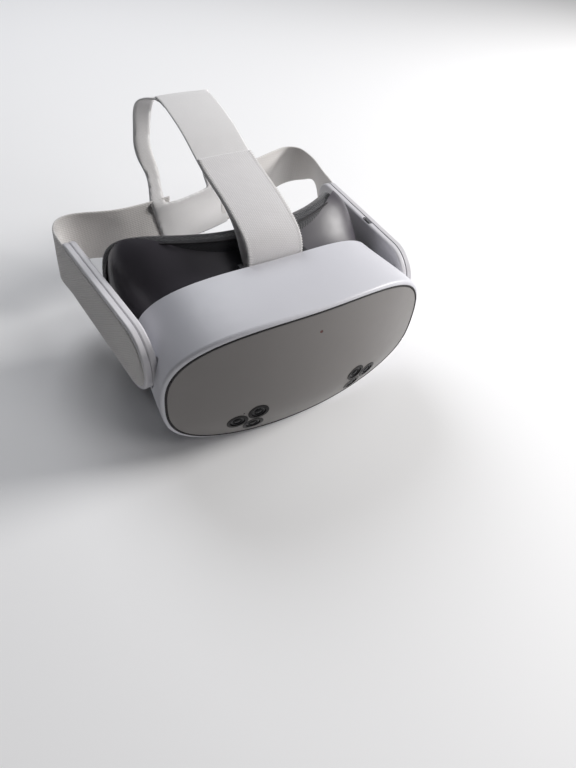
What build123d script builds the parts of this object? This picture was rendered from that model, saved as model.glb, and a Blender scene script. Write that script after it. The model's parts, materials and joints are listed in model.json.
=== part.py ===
"""Stand-alone virtual-reality headset: visor, two tilting speaker arms and a fabric head strap.

Frame: +Z up, the visor looks along -Y, +X is the wearer's left. The origin is the middle of the
flat patch under the visor that the headset rests on. All sizes are in millimetres.
"""

import os
from functools import cache
from math import copysign, cos, pi, radians, sin

from build123d import *

os.makedirs("parts", exist_ok=True)

# ---------------------------------------------------------------- driving dimensions
MIDDLE_Z = 50.0  # height of the visor's centre line
FRONT_Y = -30.0  # front plate's foremost line
FRONT_AXIS_Y = 226.0  # vertical axis that the front plate curves about
REAR_AXIS_Y = 290.0  # vertical axis that the shell's rear edge curves about
REAR_RADIUS = 267.0
FIT_GAP = 0.3  # clearance between bodies that move past each other

# visor shell outline: (y, half width, half height, squareness) of each oval section
SHELL_OVALS = ((-34, 90.4, 48.5, 2.66), (-14, 91.4, 50.4, 2.7), (6, 89.4, 50.2, 2.75), (42, 87.6, 47.4, 2.8))
CAVITY_OVALS = ((-34, 87.2, 45.8, 2.66), (-14, 85.6, 47.4, 2.7), (6, 82.7, 47.2, 2.75), (42, 82.6, 45.0, 3.0))
PLATE_OVAL = (88.1, 46.4)  # front plate
RECESS_OVAL = (89.5, 47.8)  # opening in the shell around the plate

# facial interface and its pad: (y, half width, half height over the centre line, squareness)
INTERFACE_OVALS = ((12, 80.7, 41.4, 2.8), (30, 80.7, 41.8, 2.8), (50, 83.2, 53.0, 3.6), (90, 84.6, 56.5, 4.0))
PAD_END_OVAL = (106, 84.0, 56.0, 4.0)
INTERFACE_DROP = 0.9  # its depth under the centre line, as a share of its height over it
INTERFACE_WALL = 3.0
FACE_Y = 42.5  # interface rear edge on the centre line
FACE_SWEEP = 37.0  # how much further back that edge is at 80 mm from the centre
PAD_THICKNESS = 12.5
PAD_HOLE = (70.0, 41.0, 2.8)  # opening for the eyes: half width, half height, squareness

# cameras behind the front plate: (name, distance from the centre plane, height)
CAMERAS = (("tracking_camera", 48.6, 23.9), ("colour_camera", 36.1, 29.6), ("infrared_light", 37.5, 16.0))
CAMERA_RADIUS = 6.6
RING_HOLE_RADIUS = 4.7
WINDOW_RADIUS = 4.65
RING_PROUD = 0.25
WINDOW_SUNK = 0.35
STATUS_LED_Z = 83.2
STATUS_LED_RADIUS = 1.05
PLATE_THICKNESS = 2.2

# room that blocks and cuts through the visor's front reach over, along Y
BLOCK_FRONT_Y = -45.0
BLOCK_REAR_Y = 20.0

# lenses
LENS_SPACING = 63.0
LENS_Z = 52.0
BARREL_RADIUS = 21.5
LENS_TRAVEL = 2.5

# arms
ARM_PIVOT_Y = 21.4
ARM_PIVOT_Z = 63.7
ARM_INNER_X = 88.0  # inner face at the pivot
ARM_FLARE = 4.8  # degrees outwards towards the rear
ARM_NOSE_RADIUS = 22.2
ARM_LENGTH = 98.5  # pivot to rear end
ARM_REAR_RADIUS = 12.0
ARM_REAR_TOP = 19.9
ARM_REAR_BOTTOM = -21.2
ARM_INNER_THICK = 4.4
ARM_OUTER_THICK = 3.9
ARM_SEAM = 0.15
PIN_RADIUS = 4.0
PIN_CLEARANCE = 0.05
PIN_HEAD_X = 77.4
PIN_LENGTH = 14.4

# straps
STRAP_WIDTH = 38.0
STRAP_THICK = 1.6
BAND_LOW_Z = 43.0
BAND_HIGH_Z = 82.0
BRANCH_THICK = 1.6


def save(part, name):
    """Labels a finished piece and writes it as one STEP file."""
    part.label = name
    export_step(part, f"parts/{name}.step")


def mirrored(part):
    """The same piece on the other side of the centre plane."""
    with BuildPart() as other:
        mirror(part, about=Plane.YZ)
    return other.part


# ---------------------------------------------------------------- shared forms
def front_line_y(z):
    """Side profile of the front plate: nearly upright, rolling back below."""
    up = z - MIDDLE_Z
    return FRONT_Y + 0.0014 * up**2 - 0.016 * up + 0.0058 * max(0.0, -up - 15.0) ** 2


def front_radius(z, depth):
    """Distance from the vertical axis to the plate's surface moved back by depth."""
    return FRONT_AXIS_Y - front_line_y(z) - depth


@cache
def front_form(depth):
    """Everything behind the front plate's surface moved back by depth."""
    heights = range(-10, 111, 12)
    low, high = heights[0], heights[-1]
    low_radius, high_radius = front_radius(low, depth), front_radius(high, depth)
    with BuildPart() as form:
        with BuildSketch(Plane.XZ.offset(-FRONT_AXIS_Y)):
            with BuildLine():
                Spline(*[(front_radius(z, depth), z) for z in heights])
                Polyline((high_radius, high), (0, high), (0, low), (low_radius, low))
            make_face()
        revolve(axis=Axis((0, FRONT_AXIS_Y, 0), (0, 0, 1)))
    return form.part


@cache
def rear_form(ahead):
    """Everything behind the shell's rear edge moved forwards by ahead."""
    with BuildPart() as form:
        with BuildSketch(Plane.XY.offset(-20)):
            with Locations((0, REAR_AXIS_Y)):
                Circle(REAR_RADIUS + ahead)
        extrude(amount=150)
    return form.part


def face_line(x, behind):
    """Plan line of the edge that meets the face."""
    return FACE_Y + behind + FACE_SWEEP * abs(x / 80.0) ** 2.5


@cache
def face_form(behind):
    """Everything behind the face line moved back by behind."""
    stations = range(-100, 101, 20)
    with BuildPart() as form:
        with BuildSketch(Plane.XY.offset(-20)):
            with BuildLine():
                Spline(*[(x, face_line(x, behind)) for x in stations])
                edge_y = face_line(100, behind)
                Polyline((100, edge_y), (100, 180), (-100, 180), (-100, edge_y))
            make_face()
        extrude(amount=150)
    return form.part


def oval_points(half_width, half_height, square, drop=1.0):
    """Points of a superellipse about the visor's centre line, its lower half scaled by drop."""
    points = []
    for step in range(32):
        turn = 2 * pi * step / 32
        x = half_width * copysign(abs(cos(turn)) ** (2 / square), cos(turn))
        z = half_height * copysign(abs(sin(turn)) ** (2 / square), sin(turn))
        points.append((x, MIDDLE_Z + z * (drop if z < 0 else 1.0)))
    return points


@cache
def oval_loft(sections, shrink=0.0, drop=1.0):
    """Smooth tube through oval sections, made smaller all round by shrink."""
    with BuildPart() as tube:
        for y, half_width, half_height, square in sections:
            points = oval_points(half_width - shrink, half_height - shrink, square, drop)
            with BuildSketch(Plane.XZ.offset(-y)):
                with BuildLine():
                    Spline(*points, periodic=True)
                make_face()
        loft()
    return tube.part


def oval_prism(half_width, half_height, front_y=BLOCK_FRONT_Y, rear_y=BLOCK_REAR_Y, square=2.66):
    """Straight prism along Y with an oval outline."""
    with BuildPart() as prism:
        with BuildSketch(Plane.XZ.offset(-front_y)):
            with BuildLine():
                Spline(*oval_points(half_width, half_height, square), periodic=True)
            make_face()
        extrude(amount=front_y - rear_y)
    return prism.part


def front_slab(block, depth_front, depth_rear):
    """The slice of a block that lies between two depths behind the front plate's surface."""
    with BuildPart() as slab:
        add(block)
        add(front_form(depth_front), mode=Mode.INTERSECT)
        add(front_form(depth_rear), mode=Mode.SUBTRACT)
    return slab.part


def round_block(x, z, radius, front_y=BLOCK_FRONT_Y, rear_y=BLOCK_REAR_Y):
    """Cylinder along Y."""
    with BuildPart() as block:
        with BuildSketch(Plane.XZ.offset(-front_y)):
            with Locations((x, z)):
                Circle(radius)
        extrude(amount=front_y - rear_y)
    return block.part


def camera_places():
    """(name with side, x, z) of every camera window."""
    places = []
    for name, x, z in CAMERAS:
        places.append((f"{name}_left", x, z))
        places.append((f"{name}_right", -x, z))
    return places


# ---------------------------------------------------------------- buttons under the visor
BUTTONS = (  # name, x, y, length along X, width along Y, lift of the flange over the cavity's floor
    ("volume_rocker", -36.0, -6.0, 16.0, 4.6, 0.8),
    ("action_button", 32.0, -6.0, 8.0, 4.6, 0.4),
    ("power_button", 44.0, -6.0, 6.5, 4.6, 0.4),
)
BUTTON_PROUD = 0.9
BUTTON_FLANGE = 1.0


def button_block(x, y, length, width, low_z, high_z):
    with BuildPart() as block:
        with BuildSketch(Plane.XY.offset(low_z)):
            with Locations((x, y)):
                RectangleRounded(length, width, width / 2 - 0.05)
        extrude(amount=high_z - low_z)
    return block.part


def floor_inside_z(x):
    """Height of the cavity's floor at a distance from the centre plane."""
    _, half_width, half_height, square = CAVITY_OVALS[1]
    return MIDDLE_Z - half_height * (1 - abs(x / half_width) ** square) ** (1 / square)


def make_buttons():
    """Caps that follow the shell's underside, each with a flange inside the wall."""
    outer = oval_loft(SHELL_OVALS)
    for name, x, y, length, width, lift in BUTTONS:
        flange_z = floor_inside_z(abs(x) + length / 2 + 1) + lift
        with BuildPart() as button:
            add(outer)
            add(button_block(x, y, length, width, -5, flange_z + 0.6), mode=Mode.INTERSECT)
        cap = button.part.moved(Location((0, 0, -BUTTON_PROUD)))
        with BuildPart() as button:
            add(cap)
            with BuildSketch(Plane.XY.offset(flange_z)):
                with Locations((x, y)):
                    RectangleRounded(length + 2, width + 2, width / 2)
            extrude(amount=BUTTON_FLANGE)
            add(button_block(x, y, length, width, flange_z - 1.5, flange_z + BUTTON_FLANGE / 2))
        save(button.part, name)


# ---------------------------------------------------------------- visor casing
def make_visor_shell():
    with BuildPart() as shell:
        add(oval_loft(SHELL_OVALS))
        add(front_form(0.0), mode=Mode.INTERSECT)
        rim = shell.edges().group_by(Axis.Y)[0].sort_by(SortBy.LENGTH)[-1]
        fillet(rim, radius=2.2)
        add(rear_form(0.0), mode=Mode.SUBTRACT)
        add(oval_loft(CAVITY_OVALS), mode=Mode.SUBTRACT)
        recess = front_slab(oval_prism(*RECESS_OVAL), -10.0, 4.0)
        add(recess, mode=Mode.SUBTRACT)
        # flat resting patch
        with Locations((0, 0, -5)):
            Box(220, 220, 10, mode=Mode.SUBTRACT)
        # shallow recess on each side that the arms turn in
        for side in (-1, 1):
            add(arm_recess() if side > 0 else mirrored(arm_recess()), mode=Mode.SUBTRACT)
        # pivot holes
        for side in (-1, 1):
            with BuildSketch(Plane.YZ.offset(side * 78)):
                with Locations((ARM_PIVOT_Y, ARM_PIVOT_Z)):
                    Circle(PIN_RADIUS)
            extrude(amount=side * 16, mode=Mode.SUBTRACT)
        # button slots
        for _, x, y, length, width, _ in BUTTONS:
            add(button_block(x, y, length + 0.6, width + 0.6, -5, 12), mode=Mode.SUBTRACT)
    save(shell.part, "visor_shell")


def make_front_cover():
    with BuildPart() as cover:
        add(front_slab(oval_prism(*PLATE_OVAL), 0.0, PLATE_THICKNESS))
        for _, x, z in camera_places():
            add(round_block(x, z, CAMERA_RADIUS + 0.02), mode=Mode.SUBTRACT)
        add(round_block(0, STATUS_LED_Z, STATUS_LED_RADIUS + 0.05), mode=Mode.SUBTRACT)
    save(cover.part, "front_cover")


def make_seam_gasket():
    half_width, half_height = RECESS_OVAL
    with BuildPart() as gasket:
        add(front_slab(oval_prism(half_width - 0.05, half_height - 0.05), 1.4, 3.95))
        plate_prism = oval_prism(PLATE_OVAL[0] + 0.05, PLATE_OVAL[1] + 0.05)
        plate_room = front_slab(plate_prism, -5.0, PLATE_THICKNESS + 0.05)
        add(plate_room, mode=Mode.SUBTRACT)
        add(oval_prism(85.4, 43.9), mode=Mode.SUBTRACT)
    save(gasket.part, "seam_gasket")


def make_cameras():
    for name, x, z in camera_places():
        with BuildPart() as bezel:
            add(front_slab(round_block(x, z, CAMERA_RADIUS), -RING_PROUD, 3.4))
            add(round_block(x, z, RING_HOLE_RADIUS), mode=Mode.SUBTRACT)
        save(bezel.part, f"{name}_ring")
        with BuildPart() as window:
            add(front_slab(round_block(x, z, WINDOW_RADIUS), WINDOW_SUNK, 3.2))
        save(window.part, f"{name}_window")


def make_status_led():
    save(front_slab(round_block(0, STATUS_LED_Z, STATUS_LED_RADIUS), 0.1, 4.0), "status_led")


# ---------------------------------------------------------------- inside the visor
SCREW_X = 72.0
SCREW_HEIGHTS = (30, 70)
SCREW_RADIUS = 1.25


def make_mid_frame():
    with BuildPart() as frame:
        add(front_slab(oval_prism(83.6, 43.0), 5.0, 6.6))
        for x in (-60, 60):
            with Locations((x, 0, 62)):
                Box(26, 90, 30, mode=Mode.SUBTRACT)
        for x in (-SCREW_X, SCREW_X):
            for z in SCREW_HEIGHTS:
                add(round_block(x, z, SCREW_RADIUS + 0.05), mode=Mode.SUBTRACT)
    save(frame.part, "mid_frame")


def make_screws():
    with BuildPart() as screws:
        for x in (-SCREW_X, SCREW_X):
            for z in SCREW_HEIGHTS:
                y = front_line_y(z) + 10.0 + x**2 / 512.0
                with Locations(Location((x, y, z), (90, 0, 0))):
                    Cylinder(SCREW_RADIUS, 7.0)
                with Locations(Location((x, y + 4.4, z), (90, 0, 0))):
                    Cylinder(2.3, 1.8)
    save(screws.part, "housing_screws")


BOARD_Y = -14.0
BOARD_THICK = 1.4
FIN_COUNT = 9
FIN_PITCH = 5.5


def make_electronics():
    with BuildPart() as board:
        with Locations((0, BOARD_Y + BOARD_THICK / 2, 56)):
            Box(100, BOARD_THICK, 58)
        with Locations((0, BOARD_Y - 0.6, 62)):
            Box(18, 1.2, 18)
        for x in (-38, 38):
            with Locations((x, BOARD_Y - 0.5, 62)):
                Box(14, 1.0, 22)
    save(board.part, "main_board")

    with BuildPart() as sink:
        with Locations((0, BOARD_Y - 2.0, 62)):
            Box(50, 1.6, 34)
        for step in range(FIN_COUNT):
            with Locations(((step - (FIN_COUNT - 1) / 2) * FIN_PITCH, BOARD_Y - 4.5, 62)):
                Box(1.2, 3.6, 34)
    save(sink.part, "heat_sink")

    with BuildPart() as battery:
        with Locations((0, 2.0, 16.0)):
            Box(72, 24, 11.6)
        fillet(battery.edges().filter_by(Axis.Y), radius=3.0)
    save(battery.part, "battery_pack")

    with BuildPart() as display:
        with Locations((0, -1.6, LENS_Z)):
            Box(122, 2.2, 46)
    save(display.part, "display_panel")


FAN_Y = -12.4
FAN_RADIUS = 17.0
FAN_DEPTH = 8.5
FAN_SHAFT_RADIUS = 1.5
FAN_BLADES = 11


def make_fan():
    """Flat centrifugal fan behind the board, its shaft along Y."""
    with BuildPart() as housing:
        with BuildSketch(Plane.XZ.offset(-FAN_Y)):
            with Locations((0, LENS_Z)):
                Circle(FAN_RADIUS + 2)
        extrude(amount=-FAN_DEPTH)
        with BuildSketch(Plane.XZ.offset(-FAN_Y - 1.2)):
            with Locations((0, LENS_Z)):
                Circle(FAN_RADIUS + 0.8)
        extrude(amount=-6.1, mode=Mode.SUBTRACT)
        with BuildSketch(Plane.XZ.offset(-FAN_Y - 7.0)):
            with Locations((0, LENS_Z)):
                Circle(11)
        extrude(amount=-3, mode=Mode.SUBTRACT)
        with BuildSketch(Plane.XZ.offset(-FAN_Y)):
            with Locations((0, LENS_Z)):
                Circle(FAN_SHAFT_RADIUS)
        extrude(amount=-3.2)
    save(housing.part, "fan_housing")

    with BuildPart() as rotor:
        with BuildSketch(Plane.XZ.offset(-FAN_Y - 1.8)):
            with Locations((0, LENS_Z)):
                Circle(7)
        extrude(amount=-4.8)
        with BuildSketch(Plane.XZ.offset(-FAN_Y - 1.8)):
            with Locations((0, LENS_Z)):
                with PolarLocations(11.2, FAN_BLADES):
                    Rectangle(9.6, 0.9, rotation=24)
        extrude(amount=-4.4)
        with BuildSketch(Plane.XZ.offset(-FAN_Y - 1.0)):
            with Locations((0, LENS_Z)):
                Circle(FAN_SHAFT_RADIUS + PIN_CLEARANCE)
        extrude(amount=-2.6, mode=Mode.SUBTRACT)
    save(rotor.part, "fan_rotor")


ROD_Y = 9.0
ROD_RADIUS = 1.5
ROD_OFFSET_Z = 24.6


def make_optics_frame():
    """Frame behind the display that carries the two rods the lens barrels slide on."""
    with BuildPart() as frame:
        for side in (-1, 1):
            with Locations((side * 66.0, ROD_Y, LENS_Z)):
                Box(3.0, 9.0, 58)
        for side in (-1, 1):
            with Locations((0, ROD_Y - 6.0, LENS_Z + side * 27.6)):
                Box(135, 2.4, 4.0)
        for side in (-1, 1):
            with Locations((side * 66.0, ROD_Y - 5.5, LENS_Z)):
                Box(3.0, 3.4, 58)
        for side in (-1, 1):
            with Locations(Location((0, ROD_Y, LENS_Z + side * ROD_OFFSET_Z), (0, 90, 0))):
                Cylinder(ROD_RADIUS, 140, mode=Mode.SUBTRACT)
    save(frame.part, "optics_frame")

    with BuildPart() as rods:
        for side in (-1, 1):
            with Locations(Location((0, ROD_Y, LENS_Z + side * ROD_OFFSET_Z), (0, 90, 0))):
                Cylinder(ROD_RADIUS, 136)
    save(rods.part, "guide_rods")


def make_lenses():
    """Sliding barrel with its lens, made for the left eye and mirrored."""
    centre = (LENS_SPACING / 2, LENS_Z)
    with BuildPart() as barrel:
        with BuildSketch(Plane.XZ.offset(-3.0)):
            with Locations(centre):
                Circle(BARREL_RADIUS)
        extrude(amount=-23.0)
        for side in (-1, 1):
            with Locations((centre[0], ROD_Y, LENS_Z + side * ROD_OFFSET_Z)):
                Box(12, 6.4, 7.4)
        with BuildSketch(Plane.XZ.offset(-2.0)):
            with Locations(centre):
                Circle(BARREL_RADIUS - 3.0)
        extrude(amount=-26.0, mode=Mode.SUBTRACT)
        with BuildSketch(Plane.XZ.offset(-19.0)):
            with Locations(centre):
                Circle(BARREL_RADIUS - 1.2)
        extrude(amount=-9.0, mode=Mode.SUBTRACT)
        for side in (-1, 1):
            with Locations(Location((centre[0], ROD_Y, LENS_Z + side * ROD_OFFSET_Z), (0, 90, 0))):
                Cylinder(ROD_RADIUS + PIN_CLEARANCE, 20, mode=Mode.SUBTRACT)
    save(barrel.part, "lens_barrel_left")
    save(mirrored(barrel.part), "lens_barrel_right")

    lens_radius = BARREL_RADIUS - 1.25
    edge_y, dome_y = 21.4, 25.6
    sphere = (lens_radius**2 + (dome_y - edge_y) ** 2) / (2 * (dome_y - edge_y))
    middle_y = dome_y - sphere + (sphere**2 - (lens_radius / 2) ** 2) ** 0.5
    with BuildPart() as lens:
        with BuildSketch(Plane.XY):
            with BuildLine():
                Polyline((0, dome_y), (0, 19.1), (lens_radius, 19.1), (lens_radius, edge_y))
                ThreePointArc((lens_radius, edge_y), (lens_radius / 2, middle_y), (0, dome_y))
            make_face()
        revolve(axis=Axis.Y)
    placed = lens.part.moved(Location((centre[0], 0, LENS_Z)))
    with BuildPart() as left_lens:
        add(placed)
    save(left_lens.part, "lens_left")
    save(mirrored(left_lens.part), "lens_right")


def make_lens_panel():
    """Dark wall round the two lenses, with room for them to slide."""
    with BuildPart() as front_part:
        add(oval_prism(90.0, 60.0, -20, 60, 2.8))
        add(rear_form(5.2), mode=Mode.SUBTRACT)
    with BuildPart() as panel:
        add(oval_prism(80.4, 41.4, -10, 60, 2.8))
        add(rear_form(3.4), mode=Mode.SUBTRACT)
        add(front_part.part, mode=Mode.SUBTRACT)
        for side in (-1, 1):
            with BuildSketch(Plane.XZ.offset(30)):
                with Locations((side * LENS_SPACING / 2, LENS_Z)):
                    SlotOverall(2 * (BARREL_RADIUS + LENS_TRAVEL + 0.5), 2 * (BARREL_RADIUS + 0.5))
            extrude(amount=-90, mode=Mode.SUBTRACT)
        add(round_block(0, 80, 2.6, -20, 60), mode=Mode.SUBTRACT)
    save(panel.part, "lens_panel")
    with BuildPart() as sensor:
        add(round_block(0, 80, 2.55, 16.5, 20.0))
    save(sensor.part, "proximity_sensor")


# ---------------------------------------------------------------- facial interface
NOSE_HALF_WIDTH = 21.0
NOSE_HEIGHT = 37.0


def nose_arch(shrink, front_y, rear_y):
    """Prism along Y under the nose arch."""
    with BuildPart() as arch:
        with BuildSketch(Plane.XZ.offset(-front_y)):
            with Locations((0, -2)):
                Ellipse(NOSE_HALF_WIDTH - shrink, NOSE_HEIGHT - shrink)
        extrude(amount=front_y - rear_y)
    return arch.part


def floor_trim(shape, height):
    """Removes everything below a height."""
    with BuildPart() as trimmed:
        add(shape)
        with Locations((0, 60, height - 50)):
            Box(260, 260, 100, mode=Mode.SUBTRACT)
    return trimmed.part


def make_facial_interface():
    with BuildPart() as interface:
        add(oval_loft(INTERFACE_OVALS, 0.0, INTERFACE_DROP))
        add(rear_form(1.6), mode=Mode.INTERSECT)
        add(face_form(0.0), mode=Mode.SUBTRACT)
        add(oval_loft(INTERFACE_OVALS, INTERFACE_WALL, INTERFACE_DROP), mode=Mode.SUBTRACT)
        add(nose_arch(0.0, 32, 100), mode=Mode.SUBTRACT)
    save(floor_trim(interface.part, 0.0), "facial_interface")


def make_nose_flap():
    with BuildPart() as flap:
        add(nose_arch(0.0, 33, 44))
        add(nose_arch(1.6, 30, 50), mode=Mode.SUBTRACT)
    save(floor_trim(flap.part, 0.6), "nose_flap")


def make_face_pad():
    with BuildPart() as pad:
        add(oval_loft((*INTERFACE_OVALS, PAD_END_OVAL), 0.0, INTERFACE_DROP))
        add(face_form(FIT_GAP), mode=Mode.INTERSECT)
        add(face_form(PAD_THICKNESS), mode=Mode.SUBTRACT)
        hole_width, hole_height, square = PAD_HOLE
        add(oval_prism(hole_width, hole_height, 0, 120, square), mode=Mode.SUBTRACT)
        add(nose_arch(-1.0, 32, 110), mode=Mode.SUBTRACT)
    save(floor_trim(pad.part, 0.3), "face_pad")


# ---------------------------------------------------------------- arms
def arm_plane(height):
    """Plane parallel to the left arm's inner face: local X runs to the rear, local Y up."""
    flare = radians(ARM_FLARE)
    out = Vector(cos(flare), -sin(flare), 0)
    base = Vector(ARM_INNER_X, ARM_PIVOT_Y, ARM_PIVOT_Z)
    return Plane(origin=base + out * height, x_dir=(sin(flare), cos(flare), 0), z_dir=out)


def arm_block(low, high, shrink=0.0, nose_only=False):
    """Arm outline, made smaller all round by shrink, between two heights over the inner face."""
    rear_x = ARM_LENGTH - ARM_REAR_RADIUS
    with BuildPart() as block:
        with BuildSketch(arm_plane(low)):
            Circle(ARM_NOSE_RADIUS - shrink)
            if not nose_only:
                with Locations((rear_x, ARM_REAR_TOP - ARM_REAR_RADIUS)):
                    Circle(ARM_REAR_RADIUS - shrink)
                with Locations((rear_x, ARM_REAR_BOTTOM + ARM_REAR_RADIUS)):
                    Circle(ARM_REAR_RADIUS - shrink)
                make_hull()
        extrude(amount=high - low)
    return block.part


def arm_recess():
    """Space beside the visor shell that the arm's front end sweeps."""
    with BuildPart() as recess:
        with BuildSketch(arm_plane(-0.5)):
            Circle(ARM_NOSE_RADIUS + 1.0)
            with Locations((32, 9)):
                Circle(ARM_NOSE_RADIUS + 2.0)
            with Locations((32, -9)):
                Circle(ARM_NOSE_RADIUS + 2.0)
            make_hull()
        extrude(amount=14)
    return recess.part


USB_ALONG = 32.0
USB_DEPTH_IN_ARM = 2.3


def usb_block(length, width, low, high):
    """Rounded slot that runs up through the arm's top edge."""
    flare = radians(ARM_FLARE)
    x_offset = sin(flare) * USB_ALONG + cos(flare) * USB_DEPTH_IN_ARM
    y_offset = cos(flare) * USB_ALONG - sin(flare) * USB_DEPTH_IN_ARM
    plane = Plane(
        origin=(ARM_INNER_X + x_offset, ARM_PIVOT_Y + y_offset, low),
        x_dir=(sin(flare), cos(flare), 0),
        z_dir=(0, 0, 1),
    )
    with BuildPart() as block:
        with BuildSketch(plane):
            SlotOverall(length, width)
        extrude(amount=high - low)
    return block.part


USB_TOP_Z = 85.1


def arm_inner(has_port):
    """Inner housing of the left arm: a tray with its open side outwards."""
    with BuildPart() as housing:
        add(arm_block(0.0, ARM_INNER_THICK))
        inner_face = housing.faces().sort_by(Axis.X)[0]
        fillet(inner_face.edges(), radius=1.4)
        add(arm_block(1.6, ARM_INNER_THICK + 1, 2.0), mode=Mode.SUBTRACT)
        add(arm_block(0.5, ARM_INNER_THICK, ARM_NOSE_RADIUS - 7.5, nose_only=True))
        if has_port:
            add(usb_block(13.0, 3.9, 76.0, USB_TOP_Z - 1.0))
            add(usb_block(9.6, 3.3, 70.0, 90.0), mode=Mode.SUBTRACT)
        with BuildSketch(Plane.YZ.offset(80)):
            with Locations((ARM_PIVOT_Y, ARM_PIVOT_Z)):
                Circle(PIN_RADIUS + PIN_CLEARANCE)
        extrude(amount=30, mode=Mode.SUBTRACT)
        # speaker slot under the rear end
        with BuildSketch(arm_plane(2.0)):
            with Locations((58, -24)):
                Rectangle(16, 20)
        extrude(amount=1.4, mode=Mode.SUBTRACT)
    return housing.part


def arm_outer():
    """Outer housing of the left arm: a lid with a shallow seat for the strap plate."""
    low = ARM_INNER_THICK + ARM_SEAM
    high = ARM_INNER_THICK + ARM_OUTER_THICK
    with BuildPart() as housing:
        add(arm_block(low, high))
        outer_face = housing.faces().filter_by(arm_plane(0)).sort_by(Axis.X)[-1]
        fillet(outer_face.edges(), radius=1.2)
        add(arm_block(high - 1.3, high + 1, 2.4), mode=Mode.SUBTRACT)
    return housing.part


def strap_plate():
    """Fabric-covered plate that seats in the outer housing of the left arm."""
    high = ARM_INNER_THICK + ARM_OUTER_THICK
    with BuildPart() as plate:
        add(arm_block(high - 1.25, high + 0.7, 2.5))
        outer_face = plate.faces().filter_by(arm_plane(0)).sort_by(Axis.X)[-1]
        fillet(outer_face.edges(), radius=0.6)
    return plate.part


def speaker():
    with BuildPart() as block:
        with BuildSketch(arm_plane(1.7)):
            with Locations((58, 0)):
                RectangleRounded(34, 15, 3)
        extrude(amount=2.6)
    return block.part


def pivot_pin():
    """Headed pin through the shell's side wall into the left arm."""
    with BuildPart() as pin:
        with BuildSketch(Plane.YZ.offset(PIN_HEAD_X)):
            with Locations((ARM_PIVOT_Y, ARM_PIVOT_Z)):
                Circle(PIN_RADIUS + 1.4)
        extrude(amount=2.0)
        with BuildSketch(Plane.YZ.offset(PIN_HEAD_X)):
            with Locations((ARM_PIVOT_Y, ARM_PIVOT_Z)):
                Circle(PIN_RADIUS)
        extrude(amount=PIN_LENGTH)
    return pin.part


def make_usb_port():
    """Metal shell of the charging port with its tongue."""
    with BuildPart() as port:
        add(usb_block(9.5, 3.2, 77.0, USB_TOP_Z - 1.6))
        add(usb_block(8.7, 2.5, 78.0, USB_TOP_Z + 2), mode=Mode.SUBTRACT)
        add(usb_block(6.6, 0.7, 77.5, USB_TOP_Z - 2.6))
    save(port.part, "usb_port")


def make_arms():
    pairs = {
        "arm_outer": arm_outer(),
        "strap_plate": strap_plate(),
        "speaker": speaker(),
        "pivot_pin": pivot_pin(),
    }
    for name, left in pairs.items():
        save(left, f"{name}_left")
        save(mirrored(left), f"{name}_right")
    save(arm_inner(True), "arm_inner_left")
    save(mirrored(arm_inner(False)), "arm_inner_right")


# ---------------------------------------------------------------- straps
# bar behind the visor's top edge that the top strap loops round
STRAP_BAR_Y = 27.2
STRAP_BAR_Z = 95.2
STRAP_BAR_RADIUS = 1.3
STRAP_BAR_LENGTH = 46.6

# plan line of the band round the back of the head, from the right arm to the left arm
SIDE_BAND_RIGHT = (
    (-102.4, 120.2), (-103.0, 128), (-99.5, 137), (-91, 141.5), (-79, 141.5), (-58, 136), (-41, 134),
)
REAR_BAND = ((-46, 136.6), (-26, 138.2), (-9, 141.2), (10, 146.0), (24, 151.0))
SIDE_BAND_LEFT = (
    (26, 151.6), (45, 160), (65, 169), (85, 175.5), (101, 178.5), (109, 172), (107.4, 150), (103.0, 120.2),
)

# side lines (y, z) and front outlines (x, z) of the two branches of the top strap
BRANCH_SIDE_LEFT = (
    (158, 146.4), (169, 142.4), (175.5, 133), (178, 117), (173, 102), (161, 91), (148.2, 80),
)
BRANCH_SIDE_RIGHT = (
    (158, 146.4), (169, 142.4), (175.5, 133), (178, 117), (172, 102), (157, 91), (139.5, 80),
)
BRANCH_INNER = ((12, 147.5), (16, 142), (17.5, 132), (17, 116), (16, 101), (14, 90), (12, 80))
BRANCH_OUTER_LEFT = ((19, 147.5), (27, 142), (30, 134), (30, 118), (28, 103), (26, 90), (25, 80))
BRANCH_OUTER_RIGHT = ((19, 147.5), (27, 142), (30, 134), (30, 118), (31, 103), (34, 90), (38, 80))
BRANCH_INNER_RIGHT = ((12, 147.5), (16, 142), (18, 132), (17, 116), (17, 101), (19, 90), (24, 80))

TOP_STRAP_SIDE = (
    (33.6, 104), (40, 114), (56, 121.6), (85, 128.6), (115, 139.6), (145, 145.8), (157.4, 146.6),
)


def band(points, thickness, low_z, high_z):
    """Upright ribbon that follows a plan line."""
    with BuildPart() as ribbon:
        with BuildSketch(Plane.XY.offset(low_z)):
            with BuildLine(mode=Mode.PRIVATE) as path:
                Spline(*points)
            trace(path.line, line_width=thickness)
        extrude(amount=high_z - low_z)
    return ribbon.part


def side_ribbon(points, thickness, low_x, high_x):
    """Ribbon across X that follows a line seen from the side."""
    with BuildPart() as ribbon:
        with BuildSketch(Plane.YZ.offset(low_x)):
            with BuildLine(mode=Mode.PRIVATE) as path:
                Spline(*points)
            trace(path.line, line_width=thickness)
        extrude(amount=high_x - low_x)
    return ribbon.part


def branch(side_points, outer_points, inner_points, sign):
    """One branch of the rear strap: its side ribbon cut to its outline seen from the front."""
    outer = [(sign * x, z) for x, z in outer_points]
    inner = [(sign * x, z) for x, z in inner_points]
    with BuildPart() as outline:
        with BuildSketch(Plane.XZ.offset(-130)):
            with BuildLine():
                Spline(*outer)
                Spline(*inner)
                Line(outer[0], inner[0])
                Line(outer[-1], inner[-1])
            make_face()
        extrude(amount=-60)
    with BuildPart() as piece:
        add(side_ribbon(side_points, BRANCH_THICK, -45, 45))
        add(outline.part, mode=Mode.INTERSECT)
    return piece.part


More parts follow.
